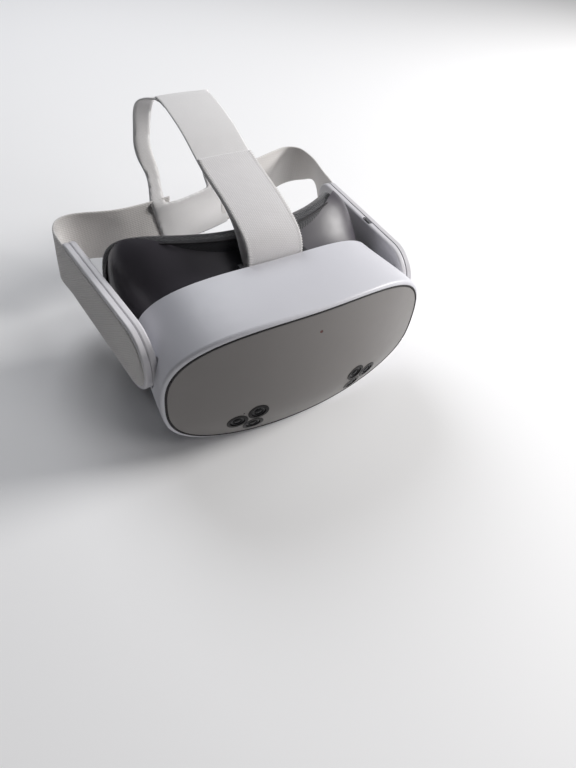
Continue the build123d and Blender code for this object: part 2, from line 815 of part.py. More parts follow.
def make_rear_strap():
    with BuildPart() as strap:
        add(band(REAR_BAND, STRAP_THICK, BAND_LOW_Z, BAND_HIGH_Z))
        add(branch(BRANCH_SIDE_LEFT, BRANCH_OUTER_LEFT, BRANCH_INNER, 1))
        add(branch(BRANCH_SIDE_RIGHT, BRANCH_OUTER_RIGHT, BRANCH_INNER_RIGHT, -1))
    save(strap.part, "rear_strap")


def make_side_straps():
    save(band(SIDE_BAND_RIGHT, STRAP_THICK, BAND_LOW_Z, BAND_HIGH_Z - 0.2), "side_strap_right")
    save(band(SIDE_BAND_LEFT, STRAP_THICK, BAND_LOW_Z, BAND_HIGH_Z - 0.2), "side_strap_left")


def make_top_strap():
    """Strap over the head: a loop round the strap bar, then one layer back to the crown."""
    half = STRAP_WIDTH / 2
    loop_gap = 0.3
    with BuildPart() as strap:
        with BuildSketch(Plane.YZ.offset(-half)):
            with Locations((STRAP_BAR_Y, STRAP_BAR_Z)):
                Circle(STRAP_BAR_RADIUS + loop_gap + STRAP_THICK)
            with BuildLine(mode=Mode.PRIVATE) as path:
                Spline((STRAP_BAR_Y + 1.5, STRAP_BAR_Z + 2.0), *TOP_STRAP_SIDE)
            trace(path.line, line_width=STRAP_THICK + 1.4)
            with Locations((STRAP_BAR_Y, STRAP_BAR_Z)):
                Circle(STRAP_BAR_RADIUS + loop_gap, mode=Mode.SUBTRACT)
        extrude(amount=STRAP_WIDTH)
    save(strap.part, "top_strap")


EAR_X = 22.0
EAR_SIZE = (2.6, 19.4, 4.2)
EAR_MIDDLE_Y = 19.9


def strap_ears():
    """Two ears that run back past the shell's top edge."""
    with BuildPart() as ears:
        for side in (-1, 1):
            with Locations((side * EAR_X, EAR_MIDDLE_Y, STRAP_BAR_Z)):
                Box(*EAR_SIZE)
    return ears.part


def make_strap_bracket():
    """The ears as far as they lie inside the cavity or behind the shell, with the bar's holes."""
    with BuildPart() as inside:
        add(strap_ears())
        add(oval_loft(CAVITY_OVALS), mode=Mode.INTERSECT)
    with BuildPart() as bracket:
        add(strap_ears())
        add(rear_form(0.0), mode=Mode.INTERSECT)
        add(inside.part)
        with BuildSketch(Plane.YZ.offset(-30)):
            with Locations((STRAP_BAR_Y, STRAP_BAR_Z)):
                Circle(STRAP_BAR_RADIUS)
        extrude(amount=60, mode=Mode.SUBTRACT)
    save(bracket.part, "strap_bracket")


def make_strap_bar():
    with BuildPart() as bar:
        with Locations(Location((0, STRAP_BAR_Y, STRAP_BAR_Z), (0, 90, 0))):
            Cylinder(STRAP_BAR_RADIUS, STRAP_BAR_LENGTH)
    save(bar.part, "strap_bar")


SLIDER_PLACES = (  # name, a point of the band, turn about Z of the band there
    ("strap_slider_right", (-64.0, 137.7), -15.8),
    ("strap_slider_left", (47.0, 161.0), 25.8),
)
SLIDER_LENGTH = 13.0
SLIDER_GAP = 1.1
SLIDER_WALL = 1.6
SLIDER_TOP_Z = 77.0
SLIDER_LIP = 4.0  # height of the lip inside the band


def make_sliders():
    """Clips behind the band that hook under its lower edge."""
    room = STRAP_THICK + 2 * SLIDER_GAP
    low_z = BAND_LOW_Z - 2 * FIT_GAP
    for name, (x, y), turn in SLIDER_PLACES:
        along = (cos(radians(turn)), sin(radians(turn)), 0)
        plane = Plane(origin=(x, y, low_z), x_dir=along, z_dir=(0, 0, 1))
        with BuildPart() as clip:
            with BuildSketch(plane.offset(-SLIDER_WALL)):
                Rectangle(SLIDER_LENGTH, room + 2 * SLIDER_WALL)
            extrude(amount=SLIDER_TOP_Z - low_z + SLIDER_WALL)
            with BuildSketch(plane):
                Rectangle(SLIDER_LENGTH + 2, room)
            extrude(amount=SLIDER_TOP_Z, mode=Mode.SUBTRACT)
            with BuildSketch(plane.offset(SLIDER_LIP)):
                with Locations((0, -room)):
                    Rectangle(SLIDER_LENGTH + 2, 2 * room)
            extrude(amount=SLIDER_TOP_Z, mode=Mode.SUBTRACT)
        save(clip.part, name)


make_visor_shell()
make_front_cover()
make_seam_gasket()
make_cameras()
make_status_led()
make_buttons()
make_mid_frame()
make_screws()
make_electronics()
make_fan()
make_optics_frame()
make_lenses()
make_lens_panel()
make_facial_interface()
make_nose_flap()
make_face_pad()
make_arms()
make_usb_port()
make_strap_bracket()
make_strap_bar()
make_top_strap()
make_rear_strap()
make_side_straps()
make_sliders()
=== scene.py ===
"""Looks of the virtual-reality headset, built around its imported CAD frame.

Lengths in this file are millimetres until a mesh, light or camera is made, which turns them into metres.
Left and right are the wearer's: the left side is at +X, the visor looks along -Y.
"""

import json
from math import cos, pi, radians, sin

import bmesh
import bpy
import numpy as np
from mathutils import Matrix, Vector
from mathutils.geometry import delaunay_2d_cdt


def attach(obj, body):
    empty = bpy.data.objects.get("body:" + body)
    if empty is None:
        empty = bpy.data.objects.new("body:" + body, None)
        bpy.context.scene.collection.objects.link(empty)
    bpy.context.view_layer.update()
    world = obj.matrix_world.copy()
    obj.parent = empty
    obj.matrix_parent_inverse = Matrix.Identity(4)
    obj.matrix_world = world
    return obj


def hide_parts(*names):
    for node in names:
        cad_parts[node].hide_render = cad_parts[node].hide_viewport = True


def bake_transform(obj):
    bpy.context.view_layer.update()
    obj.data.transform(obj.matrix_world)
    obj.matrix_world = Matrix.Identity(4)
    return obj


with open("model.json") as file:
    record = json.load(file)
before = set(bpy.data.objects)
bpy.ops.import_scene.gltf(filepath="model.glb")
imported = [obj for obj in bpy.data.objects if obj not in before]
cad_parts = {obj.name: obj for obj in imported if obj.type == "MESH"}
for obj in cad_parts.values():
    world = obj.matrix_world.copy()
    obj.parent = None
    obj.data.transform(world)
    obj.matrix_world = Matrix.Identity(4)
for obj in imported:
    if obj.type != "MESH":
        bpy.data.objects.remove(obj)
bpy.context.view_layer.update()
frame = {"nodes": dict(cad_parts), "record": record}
nodes = frame["nodes"]
MM = 0.001
SIDES = {"left": 1, "right": -1}

# ---------------------------------------------------------------- camera, light and floor
LIGHT_AIM = (0, 0.06, 0.05)  # metres, as the lamps' places are
FLOOR_WIDTH, FLOOR_DROP = 6, 0.0002  # metres
FLOOR_COLOUR = (0.88, 0.88, 0.885)
CAMERA_PLACE = (-160.6, -222.8, 310.9)  # millimetres
CAMERA_AZIMUTH, CAMERA_ELEVATION, CAMERA_ROLL = -36.93, 42.16, 7.488  # degrees
CAMERA_LENS, CAMERA_SENSOR = 28.116, 36
CAMERA_SHIFT = (-0.01667, -0.07188)


def make_camera():
    """Camera at the photograph's viewing angle."""
    azimuth, elevation, roll = radians(CAMERA_AZIMUTH), radians(CAMERA_ELEVATION), radians(CAMERA_ROLL)
    back = Vector((sin(azimuth) * cos(elevation), -cos(azimuth) * cos(elevation), sin(elevation)))
    level = Vector((cos(azimuth), sin(azimuth), 0))
    up = back.cross(level)
    right = cos(roll) * level + sin(roll) * up
    top = back.cross(right)
    data = bpy.data.cameras.new("camera")
    data.lens = CAMERA_LENS
    data.sensor_width = CAMERA_SENSOR
    data.shift_x, data.shift_y = CAMERA_SHIFT
    data.clip_start = 0.01
    camera = bpy.data.objects.new("camera", data)
    bpy.context.collection.objects.link(camera)
    turn = Matrix((right, top, back)).transposed()
    camera.matrix_world = Matrix.Translation(Vector(CAMERA_PLACE) * MM) @ turn.to_4x4()
    bpy.context.scene.camera = camera


def area_light(name, place, size, power, colour):
    """Round soft box that faces the headset."""
    data = bpy.data.lights.new(name, "AREA")
    data.shape, data.size, data.energy, data.color = "DISK", size, power, colour
    lamp = bpy.data.objects.new(name, data)
    bpy.context.collection.objects.link(lamp)
    lamp.location = place
    lamp.rotation_mode = "QUATERNION"
    lamp.rotation_quaternion = (Vector(LIGHT_AIM) - Vector(place)).to_track_quat("-Z", "Y")


def make_light():
    """Dim sky and four soft boxes; power in watts, sizes and places in metres."""
    world = bpy.data.worlds.new("studio")
    bpy.context.scene.world = world
    world.use_nodes = True
    sky = world.node_tree.nodes["Background"]
    sky.inputs["Color"].default_value = (0.93, 0.95, 1.0, 1)
    sky.inputs["Strength"].default_value = 0.03
    area_light("side_window", (1.226, -0.268, 0.642), 0.5, 20.5, (1.0, 0.985, 0.97))
    area_light("rear_window", (0.0, 1.05, 1.04), 0.8, 8.7, (0.95, 0.965, 1.0))
    area_light("front_fill", (0.536, -0.869, 0.95), 0.6, 3.0, (1.0, 0.985, 0.98))
    area_light("overhead", (0.657, 0.06, 1.286), 0.8, 2.4, (0.97, 0.98, 1.0))
    bpy.context.scene.view_settings.view_transform = "Standard"


def make_floor():
    """Plain pale floor just under the headset."""
    recipe = Recipe("floor", FLOOR_COLOUR, 0.7)
    recipe.tint(recipe.noise(300, 2.0), 0.99, 1.01)
    bpy.ops.mesh.primitive_plane_add(size=FLOOR_WIDTH, location=(0, 0, -FLOOR_DROP))
    floor = bpy.context.object
    floor.name = "floor"
    floor.data.materials.append(recipe.material)


# ---------------------------------------------------------------- material recipes
class Recipe:
    """One new material, and short ways to add nodes to it."""

    def __init__(self, name, colour, roughness, **sockets):
        self.material = bpy.data.materials.new(name)
        self.material.use_nodes = True
        self.tree = self.material.node_tree
        self.shader = self.tree.nodes["Principled BSDF"]
        self.colour = colour
        self.shader.inputs["Base Color"].default_value = (*colour, 1)
        self.shader.inputs["Roughness"].default_value = roughness
        for key, value in sockets.items():
            self.shader.inputs[key.replace("_", " ")].default_value = value

    def node(self, kind, *inputs, **settings):
        """Adds a node; each input is a number, a colour, another node's output or None."""
        made = self.tree.nodes.new("ShaderNode" + kind)
        for key, value in settings.items():
            setattr(made, key, value)
        for socket, value in zip(made.inputs, inputs):
            if isinstance(value, bpy.types.NodeSocket):
                self.tree.links.new(value, socket)
            elif value is not None:
                socket.default_value = value
        return made.outputs[0]

    def maths(self, operation, a, b=0.0):
        """Adds a maths node; returns its result."""
        return self.node("Math", a, b, operation=operation)

    def place(self, kind="Object"):
        """Coordinates in metres, or a piece's own UV map in millimetres."""
        return self.tree.nodes.new("ShaderNodeTexCoord").outputs[kind]

    def noise(self, size, detail=2.0, kind="Object", stretch=(1, 1, 1)):
        """Noise whose grains are about size millimetres."""
        scale = 1000 / size if kind == "Object" else 1 / size
        where = self.node("VectorMath", self.place(kind), stretch, operation="MULTIPLY")
        made = self.tree.nodes.new("ShaderNodeTexNoise")
        self.tree.links.new(where, made.inputs["Vector"])
        made.inputs["Scale"].default_value = scale
        made.inputs["Detail"].default_value = detail
        return made.outputs[0]

    def ramp(self, value, *stops):
        """Grey or colour ramp through (position, value) stops."""
        made = self.tree.nodes.new("ShaderNodeValToRGB")
        points = made.color_ramp.elements
        while len(points) < len(stops):
            points.new(0.5)
        for point, (position, groove_shade_and_yarn) in zip(points, stops):
            point.position = position
            point.color = (*groove_shade_and_yarn, 1) if isinstance(groove_shade_and_yarn, tuple) else (groove_shade_and_yarn, groove_shade_and_yarn, groove_shade_and_yarn, 1)
        self.tree.links.new(value, made.inputs["Fac"])
        return made.outputs["Color"]

    def tint(self, value, low, high):
        """Base colour that goes from low to high times the recipe's colour."""
        dark, light = (tuple(min(1.0, c * share) for c in self.colour) for share in (low, high))
        self.tree.links.new(self.ramp(value, (0.0, dark), (1.0, light)), self.shader.inputs["Base Color"])

    def rough(self, value, low, high):
        """Roughness that goes from low to high."""
        self.tree.links.new(self.ramp(value, (0.0, low), (1.0, high)), self.shader.inputs["Roughness"])

    def bump(self, height, depth, strength=1.0, under=None):
        """Bump of a height map, depth millimetres deep, over an earlier bump."""
        made = self.tree.nodes.new("ShaderNodeBump")
        made.inputs["Strength"].default_value = strength
        made.inputs["Distance"].default_value = depth * MM
        self.tree.links.new(height, made.inputs["Height"])
        if under is not None:
            self.tree.links.new(under, made.inputs["Normal"])
        self.tree.links.new(made.outputs["Normal"], self.shader.inputs["Normal"])
        return made.outputs["Normal"]


def moulded(name, colour, roughness, grain=0.35, depth=0.012, **sockets):
    """Moulded plastic: fine spark-eroded texture, faint flow marks and uneven gloss."""
    recipe = Recipe(name, colour, roughness, **sockets)
    flow = recipe.noise(38, 3.0)
    fine = recipe.noise(grain, 1.0)
    recipe.tint(flow, 0.965, 1.035)
    recipe.rough(recipe.noise(9, 4.0), roughness - 0.07, roughness + 0.07)
    recipe.bump(fine, depth, 0.5)
    return recipe.material


def polished(name, colour, roughness, **sockets):
    """Glass or lacquer with a trace of dust and wiping marks in its gloss."""
    recipe = Recipe(name, colour, roughness, **sockets)
    recipe.rough(recipe.noise(2.4, 5.0, stretch=(1, 1, 0.35)), roughness, roughness + 0.08)
    recipe.tint(recipe.noise(6, 2.0), 0.9, 1.1)
    return recipe.material


def brushed(name, colour, roughness, grain):
    """Metal with fine drawn lines."""
    recipe = Recipe(name, colour, roughness, Metallic=1.0)
    lines = recipe.noise(grain, 3.0, stretch=(0.06, 1, 1))
    recipe.rough(lines, roughness - 0.08, roughness + 0.12)
    recipe.tint(lines, 0.9, 1.08)
    recipe.bump(lines, 0.01, 0.4)
    return recipe.material


def woven(name, colour, pitch, grain, turn, depth, contrast, roughness=0.85, sheen=0.25, through=0.0):
    """Fabric of fine cords with lint, slightly uneven yarn, painted shade in the grooves between cords and a
    soft sheen; some light passes through.

    Rows of cords are pitch apart and turned from the UV map's first axis, and each is cut into grains.
    """
    sockets = {"Sheen_Weight": sheen, "Sheen_Roughness": 0.45, "Specular_IOR_Level": 0.25}
    recipe = Recipe(name, colour, roughness, **sockets)
    recipe.shader.inputs["Subsurface Weight"].default_value = through
    recipe.shader.inputs["Subsurface Radius"].default_value = (1, 1, 1)
    recipe.shader.inputs["Subsurface Scale"].default_value = 2.5 * MM
    parts = recipe.tree.nodes.new("ShaderNodeSeparateXYZ")
    recipe.tree.links.new(recipe.place("UV"), parts.inputs[0])
    along, across = parts.outputs[0], parts.outputs[1]
    c, s = cos(radians(turn)), sin(radians(turn))

    def scaled(value, factor):
        return recipe.maths("MULTIPLY", value, factor)

    def wave(value):
        return recipe.maths("ABSOLUTE", recipe.maths("SINE", scaled(value, pi)))

    row = recipe.maths("ADD", scaled(along, -s / pitch), scaled(across, c / pitch))
    step = recipe.maths("ADD", scaled(along, c / grain), scaled(across, s / grain))
    shifted = recipe.maths("ADD", step, scaled(recipe.maths("FLOOR", row), 0.5))
    height = recipe.maths("ADD", scaled(wave(row), 0.6), scaled(wave(shifted), 0.4))
    # base colour: painted shade, darker in the grooves between cords than on their crowns, mixed with real
    # uneven yarn
    groove_shade_and_yarn = recipe.maths("ADD", scaled(height, 0.7), scaled(recipe.noise(14, 4.0, "UV"), 0.3))
    recipe.tint(groove_shade_and_yarn, 1 - contrast, 1 + 0.4 * contrast)
    lint = recipe.bump(recipe.noise(0.3, 2.0, "UV"), 0.05, 0.5)
    recipe.bump(height, depth, 0.9, under=lint)
    return recipe.material


def make_materials():
    """Every finish of the headset, by the record's slot name."""
    made = {}

    def add(recipe, name, *values, **settings):
        made[name] = recipe(name, *values, **settings)

    add(moulded, "shell_plastic", (0.615, 0.615, 0.655), 0.42)
    # painted shade: the front plate's base colour is made far darker than the shell's so that its forward
    # face looks shaded; the real plate is the same pale plastic
    add(moulded, "plate_plastic", (0.192, 0.180, 0.174), 0.34, grain=0.25, depth=0.008)
    add(moulded, "arm_plastic", (0.65, 0.64, 0.665), 0.46)
    add(moulded, "button_plastic", (0.56, 0.56, 0.58), 0.42)
    add(moulded, "slider_plastic", (0.42, 0.42, 0.42), 0.5)
    add(moulded, "interface_plastic", (0.062, 0.057, 0.068), 0.4, grain=0.5, depth=0.02)
    add(moulded, "dark_plastic", (0.03, 0.03, 0.034), 0.55)
    add(moulded, "gasket_rubber", (0.012, 0.010, 0.012), 0.7, grain=0.6, depth=0.03)
    add(moulded, "speaker_black", (0.02, 0.02, 0.02), 0.7, grain=0.8, depth=0.1)
    add(moulded, "camera_ring", (0.008, 0.007, 0.008), 0.3, grain=0.3, depth=0.004, Specular_IOR_Level=0.12)
    add(polished, "camera_glass", (0.006, 0.006, 0.008), 0.08, Specular_IOR_Level=0.16)
    add(polished, "display_glass", (0.012, 0.012, 0.018), 0.1)
    add(polished, "led", (0.09, 0.022, 0.018), 0.3, Emission_Color=(1.0, 0.1, 0.05, 1),
        Emission_Strength=0.004)
    add(polished, "lens_clear", (0.80, 0.83, 0.9), 0.02, Transmission_Weight=0.9, IOR=1.5)
    add(brushed, "frame_metal", (0.55, 0.56, 0.58), 0.42, 0.7)
    add(brushed, "steel", (0.5, 0.5, 0.51), 0.3, 0.4)
    add(polished, "circuit_board", (0.015, 0.09, 0.05), 0.35)
    add(moulded, "battery_wrap", (0.03, 0.03, 0.04), 0.4, grain=1.2, depth=0.05)
    add(woven, "panel_fabric", (0.66, 0.64, 0.625), 1.45, 2.6, 143.2, 0.22, 0.16, through=0.25)
    add(woven, "strap_webbing", (0.71, 0.70, 0.70), 0.8, 1.1, 45.0, 0.12, 0.14, through=0.5)
    add(woven, "strap_tab", (0.72, 0.705, 0.71), 0.95, 1.25, 45.0, 0.16, 0.2, through=0.4)
    add(woven, "pad_fabric", (0.042, 0.042, 0.047), 1.2, 1.6, 28.0, 0.3, 0.5, roughness=0.95, sheen=0.5)
    add(woven, "thread", (0.70, 0.69, 0.68), 0.3, 0.5, 30.0, 0.05, 0.2)
    return made


# ---------------------------------------------------------------- curves and sheets
def smoothed(value):
    """Goes from 0 to 1 with no corner as value does."""
    value = np.clip(value, 0, 1)
    return value * value * (3 - 2 * value)


def lengths_along(points):
    """Distance of each point from the first along the line through them."""
    return np.concatenate([[0], np.cumsum(np.linalg.norm(np.diff(points, axis=0), axis=1))])


def superellipse(turns, half_width, half_height, square):
    """Across and up distances from the centre of a rounded oblong."""
    across = half_width * np.sign(np.cos(turns)) * np.abs(np.cos(turns)) ** (2 / square)
    up = half_height * np.sign(np.sin(turns)) * np.abs(np.sin(turns)) ** (2 / square)
    return across, up


def spline(points, count):
    """Evenly spaced points of the natural cubic curve through the given points."""
    points = np.array(points, float)
    size = len(points)
    knots = lengths_along(points)
    system, load = np.eye(size), np.zeros_like(points)
    for i in range(1, size - 1):
        before, after = knots[i] - knots[i - 1], knots[i + 1] - knots[i]
        system[i, i - 1 : i + 2] = before, 2 * (before + after), after
        load[i] = 6 * ((points[i + 1] - points[i]) / after - (points[i] - points[i - 1]) / before)
    bend = np.linalg.solve(system, load)

    def at(where):
        i = np.clip(np.searchsorted(knots, where) - 1, 0, size - 2)
        span = (knots[i + 1] - knots[i])[:, None]
        b = (where[:, None] - knots[i][:, None]) / span
        a = 1 - b
        bow = (a**3 - a) * bend[i] + (b**3 - b) * bend[i + 1]
        return a * points[i] + b * points[i + 1] + bow * span**2 / 6

    fine = np.linspace(0, knots[-1], 40 * size)
    lengths = lengths_along(at(fine))
    return at(np.interp(np.linspace(0, lengths[-1], count), lengths, fine)), lengths[-1]


def graded(length, step, edge=1.2):
    """Stations along a length: step apart, and closer together at both ends."""
    rim = np.array([0, 0.06, 0.2, 0.45, 0.75, 1.0]) * edge
    inner = np.linspace(edge, length - edge, max(2, round((length - 2 * edge) / step) + 1))
    return np.concatenate([rim[:-1], inner, length - rim[-2::-1]])


def rim_share(distance, radius):
    """Share of the full thickness at a distance from a rounded edge."""
    return np.sqrt(np.clip(1 - (1 - np.clip(distance, 0, radius) / radius) ** 2, 0, 1))


def make_mesh(name, points, faces, uv, material):
    """Smooth mesh from points in millimetres; uv holds one pair for each point."""
    mesh = bpy.data.meshes.new(name)
    mesh.from_pydata([tuple(p) for p in np.asarray(points) * MM], [], faces)
    layer = mesh.uv_layers.new(name="weave")
    corners = np.zeros(len(mesh.loops), np.int32)
    mesh.loops.foreach_get("vertex_index", corners)
    layer.data.foreach_set("uv", np.asarray(uv, np.float32)[corners].ravel())
    mesh.materials.append(material)
    piece = bpy.data.objects.new(name, mesh)
    bpy.context.collection.objects.link(piece)
    form = bmesh.new()
    form.from_mesh(mesh)
    bmesh.ops.remove_doubles(form, verts=form.verts, dist=0.004 * MM)
    bmesh.ops.recalc_face_normals(form, faces=form.faces)
    form.to_mesh(mesh)
    form.free()
    mesh.shade_smooth()
    return piece


def thick_sheet(name, middle, normal, half, us, vs, material):
    """Closed cloth: its two sides lie half a thickness from the middle grid, and meet at its edges."""
    rows, columns = half.shape
    offset = normal * half[..., None]
    points = np.concatenate([(middle + offset).reshape(-1, 3), (middle - offset).reshape(-1, 3)])
    grid_u, grid_v = np.meshgrid(us, vs, indexing="ij")
    uv = np.stack([grid_u.ravel(), grid_v.ravel()], -1)
    faces = []
    for side in (0, rows * columns):
        for i in range(rows - 1):
            for j in range(columns - 1):
                a = side + i * columns + j
                loop = (a, a + columns, a + columns + 1, a + 1)
                faces.append(loop if side else loop[::-1])
    return make_mesh(name, points, faces, np.concatenate([uv, uv]), material)


def tube(path, radius, sides=6, closed=False):
    """Points and faces of a thin round tube along a path."""
    path = np.asarray(path, float)
    ahead = np.roll(path, -1, 0) - np.roll(path, 1, 0)
    if not closed:
        ahead[0], ahead[-1] = path[1] - path[0], path[-1] - path[-2]
    ahead /= np.linalg.norm(ahead, axis=1, keepdims=True)
    guide = np.where(np.abs(ahead[:, 2:3]) > 0.9, [[1.0, 0, 0]], [[0, 0, 1.0]])
    one = np.cross(ahead, guide)
    one /= np.linalg.norm(one, axis=1, keepdims=True)
    two = np.cross(ahead, one)
    turns = np.arange(sides) * 2 * pi / sides
    ring = one[:, None] * np.cos(turns)[None, :, None] + two[:, None] * np.sin(turns)[None, :, None]
    points = (path[:, None] + radius * ring).reshape(-1, 3)
    count = len(path)
    faces = []
    for i in range(count if closed else count - 1):
        for j in range(sides):
            a, b = i * sides, ((i + 1) % count) * sides
            faces.append((a + j, a + (j + 1) % sides, b + (j + 1) % sides, b + j))
    if not closed:
        faces += [tuple(range(sides))[::-1], tuple(range((count - 1) * sides, count * sides))]
    return points, faces


def tubes(name, paths, radius, material, closed=False, sides=6):
    """One piece made of several thin tubes."""
    points, faces, start = [], [], 0
    for path in paths:
        more, loops = tube(path, radius, sides, closed)
        points.append(more)
        faces += [tuple(start + k for k in loop) for loop in loops]
        start += len(more)
    points = np.concatenate(points)
    return make_mesh(name, points, faces, points[:, :2], material)


# ---------------------------------------------------------------- arms: fabric panel and side strap
PIVOT = (88.0, 21.4, 63.7)  # middle of the left arm's inner face at its hinge
ARM_FLARE = radians(4.8)
ARM_LENGTH = 98.5
NOSE_RADIUS = 19.7  # fabric panel's front end
REAR_ALONG = 86.5  # centre of the arm's rear corners behind the hinge
PANEL_REAR = (17.4, -18.7)  # panel's top and bottom edges there
PANEL_HEIGHT = 8.15  # middle of the fabric over the arm's inner face
STRAP_HALF = 0.85  # half the fabric's thickness
STRAP_RIM = 1.2  # radius of its edges
SIDE_WIDTH = 38.0  # its width behind the arms
BAND = (43.0, 82.0)  # bottom and top of the head band

# plan line of the side straps behind the arms
SIDE_PATHS = {
    "left": [(106.4, 130), (108.6, 140), (110.9, 151), (111.4, 163), (109.2, 173), (102, 177.9), (88, 176),
             (67, 168.9), (45, 160), (26, 151.8)],
    "right": [(-104.4, 129), (-102.6, 135.5), (-98.2, 141.6), (-90, 143.9), (-80, 142.4), (-70, 139.8),
              (-57, 137.7), (-46, 137.9), (-34, 138.8), (-20, 140.8)],
}
# bottom edge and outward lean of the side straps at distances behind the arm
SIDE_LOW = {
    "left": [(0, 43.6), (8, 45), (16, 53), (24, 60.5), (33, 62), (43, 58), (53, 51.5), (62, 46.5),
             (72, 43.3), (95, 41.6), (120, 40.5), (145, 41)],
    "right": [(0, 43.6), (20, 43.2), (60, 43.6), (110, 43.4)],
}
SIDE_LEAN = {
    "left": [(0, 0), (10, 1.0), (28, 4.0), (55, 5.0), (75, 2.5), (100, 0.5), (145, 0)],
    "right": [(0, 0), (25, 1.5), (50, 1.0), (110, 0)],
}


def table_curve(table, where):
    """Smooth value at each distance of a short (distance, value) table."""
    points, _ = spline(table, 400)
    return np.interp(where, points[:, 0], points[:, 1])


def panel_edge(along, rear, sign):
    """Height over the hinge of the panel's edge: a round nose, then a straight run to the rear."""
    nose = np.sqrt(np.clip(NOSE_RADIUS**2 - np.clip(along, -NOSE_RADIUS, 0) ** 2, 1.0, None))
    return sign * nose + (rear - sign * NOSE_RADIUS) * np.clip(along, 0, REAR_ALONG) / REAR_ALONG


def make_arm_strap(side, material):
    """Fabric that covers an arm's outer face and runs on as the side strap."""
    sign = SIDES[side]
    out, back = Vector((cos(ARM_FLARE), -sin(ARM_FLARE))), Vector((sin(ARM_FLARE), cos(ARM_FLARE)))
    line = []
    for along in (-NOSE_RADIUS, 0, 20, 40, 60, 80, 92):
        spot = Vector(PIVOT[:2]) + along * back + PANEL_HEIGHT * out
        line.append((sign * spot.x, spot.y))
    _, length = spline(line + SIDE_PATHS[side], 50)
    path, length = spline(line + SIDE_PATHS[side], round(length * 4))
    near_rim, far_rim = [0, 0.08, 0.3, 0.65, 1.1], length - np.array([1.2, 0.7, 0.3, 0.08, 0])
    us = np.concatenate([near_rim, np.arange(1.7, length - 1.3, 1.15), far_rim])
    place = np.stack([np.interp(us, np.linspace(0, length, len(path)), path[:, k]) for k in (0, 1)], -1)
    ahead = np.gradient(place, us, axis=0)
    ahead /= np.linalg.norm(ahead, axis=1, keepdims=True)
    out_line = sign * np.stack([ahead[:, 1], -ahead[:, 0]], -1)

    along = us - NOSE_RADIUS
    behind = along - ARM_LENGTH
    to_band = smoothed((behind + 14) / 16)
    top = PIVOT[2] + panel_edge(along, PANEL_REAR[0], 1)
    top = top + (BAND[1] + 0.5 - top) * to_band
    low = PIVOT[2] + panel_edge(along, PANEL_REAR[1], -1)
    low = low + (table_curve(SIDE_LOW[side], np.clip(behind, 0, None)) - low) * to_band
    lean = np.where(behind > 0, table_curve(SIDE_LEAN[side], np.clip(behind, 0, None)), 0)

    shares = graded(SIDE_WIDTH, 1.3, 1.4) / SIDE_WIDTH
    z = low[:, None] + (top - low)[:, None] * shares[None]
    push = lean[:, None] * (BAND[1] - z) / SIDE_WIDTH
    # soft waves of the free strap, and the panel's slight crown
    free = smoothed(behind / 20)[:, None]
    push = push + free * 0.35 * np.sin(us[:, None] / 9.0 + 2.0 * shares[None]) * np.sin(pi * shares)[None]
    push = push + (1 - free) * 0.22 * np.sin(pi * shares)[None] * smoothed(us / 10)[:, None]
    middle = np.concatenate([place[:, None] + push[..., None] * out_line[:, None], z[..., None]], -1)
    normal = np.concatenate([out_line, np.zeros((len(us), 1))], -1)[:, None] * np.ones((1, len(shares), 1))
    from_edge = np.minimum(shares, 1 - shares)[None] * (top - low)[:, None]
    from_end = np.minimum(us, length - us)[:, None]
    half = STRAP_HALF * rim_share(from_edge, STRAP_RIM) * rim_share(from_end, STRAP_RIM)
    piece = thick_sheet(f"strap_fabric_{side}", middle, normal, half, us, shares * SIDE_WIDTH, material)
    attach(piece, f"arm_{side}")
    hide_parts(f"strap_plate_{side}", f"side_strap_{side}")


# ---------------------------------------------------------------- rear strap: one sheet with two branches
# plan line of the upright band
REAR_LINE = [(-46, 136.2), (-26, 138.0), (-9, 141.2), (10, 146.0), (24, 150.6), (36, 155.6)]
BAND_RISE = 37.0  # height of the upright band
BRANCH_RISE = 92.0  # pattern length of the branches over it
REAR_STEP = 1.9  # distance between mesh points
REAR_CLEAR = 0.8  # least distance of the inner mesh points from the edge
REAR_HALF, REAR_RIM = 0.72, 1.0  # half the thickness, radius of the edges
# (y, z) lines of the branches up to the crown
BRANCH_PROFILES = {
    "right": [(139.5, 80), (157, 91), (172, 102), (178, 117), (175.5, 133), (169, 142.2), (158, 145.2),
              (147, 144.4)],
    "left": [(148.2, 80), (161, 91), (173, 102), (178, 117), (175.5, 133), (169, 142.2), (158, 145.2),
             (147, 144.4)],
}


def rear_point(x, rise):
    """Point of the rear strap, x from the centre plane and rise along the pattern from its bottom edge."""
    line, _ = spline(REAR_LINE, 200)
    base_y = np.interp(x, line[:, 0], line[:, 1])
    share = np.clip((rise - BAND_RISE) / BRANCH_RISE, 0, 1)
    found = {}
    for side, profile in BRANCH_PROFILES.items():
        curve, _ = spline(profile, 240)
        steps = np.linspace(0, 1, len(curve))
        y, z = np.interp(share, steps, curve[:, 0]), np.interp(share, steps, curve[:, 1])
        fade = (1 - share) ** 3
        found[side] = y + (base_y - profile[0][0]) * fade, z
    mix = smoothed((x + 22) / 40)
    y = found["right"][0] * (1 - mix) + found["left"][0] * mix
    z = found["right"][1] * (1 - mix) + found["left"][1] * mix
    # the upright band turns into the branches without a corner
    bend = smoothed((rise - BAND_RISE + 9) / 18)
    upright = BAND[0] + rise
    z = np.where(rise < BAND_RISE, upright, z)
    y = y - 0.9 * np.sin(pi * bend) * (bend < 1)
    return np.stack([x, y, z], -1)


def rounded_line(points, count):
    """Smooth open line through points, as a list of pairs."""
    return [tuple(p) for p in spline(points, count)[0]]


